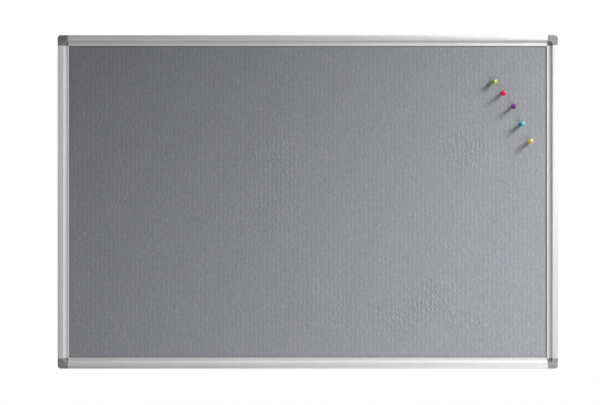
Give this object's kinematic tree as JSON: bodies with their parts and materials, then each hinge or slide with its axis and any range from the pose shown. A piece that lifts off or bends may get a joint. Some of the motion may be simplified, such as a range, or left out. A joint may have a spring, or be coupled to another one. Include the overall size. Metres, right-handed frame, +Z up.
{
  "type": "notice board",
  "caption": "Wall-hung felt notice board in a silver aluminium frame, with grey pull-off corner caps over hidden wall fixings and pull-out push pins.",
  "frame": {"origin": "centre of the back plane that lies against the wall, midway between the four wall-screw holes", "axes": "+X to the right as seen from the front, +Z up, -Y out of the felt towards the viewer"},
  "size_m": [0.9, 0.0292, 0.6],
  "materials": {
    "anodised_aluminium": "satin",
    "cap_plastic": "matte",
    "bracket_plastic": "satin",
    "grey_felt": "matte",
    "soft_fibreboard": "matte",
    "hardboard": "satin",
    "screw_steel": "satin",
    "needle_steel": "polished",
    "pin_green_plastic": "gloss",
    "pin_pink_plastic": "gloss",
    "pin_purple_plastic": "gloss",
    "pin_cyan_plastic": "gloss",
    "pin_yellow_plastic": "gloss"
  },
  "bodies": {
    "root": {"rail_top": "anodised_aluminium", "rail_bottom": "anodised_aluminium", "rail_left": "anodised_aluminium", "rail_right": "anodised_aluminium", "corner_bracket_top_left": "bracket_plastic", "corner_bracket_top_right": "bracket_plastic", "corner_bracket_bottom_left": "bracket_plastic", "corner_bracket_bottom_right": "bracket_plastic", "felt_facing": "grey_felt", "fibreboard_core": "soft_fibreboard", "backing_sheet": "hardboard", "rail_screws": "screw_steel"},
    "corner_cap_top_left": {"corner_cap_top_left": "cap_plastic"},
    "corner_cap_top_right": {"corner_cap_top_right": "cap_plastic"},
    "corner_cap_bottom_left": {"corner_cap_bottom_left": "cap_plastic"},
    "corner_cap_bottom_right": {"corner_cap_bottom_right": "cap_plastic"},
    "pin_green": {"pin_green_head": "pin_green_plastic", "pin_green_needle": "needle_steel"},
    "pin_pink": {"pin_pink_head": "pin_pink_plastic", "pin_pink_needle": "needle_steel"},
    "pin_purple": {"pin_purple_head": "pin_purple_plastic", "pin_purple_needle": "needle_steel"},
    "pin_cyan": {"pin_cyan_head": "pin_cyan_plastic", "pin_cyan_needle": "needle_steel"},
    "pin_yellow": {"pin_yellow_head": "pin_yellow_plastic", "pin_yellow_needle": "needle_steel"}
  },
  "joints": [
    {"name": "cap_pull_top_left", "type": "slide", "parent": "root", "child": "corner_cap_top_left", "axis": [0, -1, 0], "range_m": [0, 0.025]},
    {"name": "cap_pull_top_right", "type": "slide", "parent": "root", "child": "corner_cap_top_right", "axis": [0, -1, 0], "range_m": [0, 0.025]},
    {"name": "cap_pull_bottom_left", "type": "slide", "parent": "root", "child": "corner_cap_bottom_left", "axis": [0, -1, 0], "range_m": [0, 0.025]},
    {"name": "cap_pull_bottom_right", "type": "slide", "parent": "root", "child": "corner_cap_bottom_right", "axis": [0, -1, 0], "range_m": [0, 0.025]},
    {"name": "pin_green_pull", "type": "slide", "parent": "root", "child": "pin_green", "axis": [0.483, -0.8746, -0.0423], "range_m": [0, 0.02]},
    {"name": "pin_pink_pull", "type": "slide", "parent": "root", "child": "pin_pink", "axis": [0.0905, -0.9945, -0.0523], "range_m": [0, 0.02]},
    {"name": "pin_purple_pull", "type": "slide", "parent": "root", "child": "pin_purple", "axis": [-0.2498, -0.9613, -0.1165], "range_m": [0, 0.02]},
    {"name": "pin_cyan_pull", "type": "slide", "parent": "root", "child": "pin_cyan", "axis": [0.0829, -0.9962, 0.0269], "range_m": [0, 0.02]},
    {"name": "pin_yellow_pull", "type": "slide", "parent": "root", "child": "pin_yellow", "axis": [-0.0302, -0.9994, 0.0174], "range_m": [0, 0.02]}
  ]
}
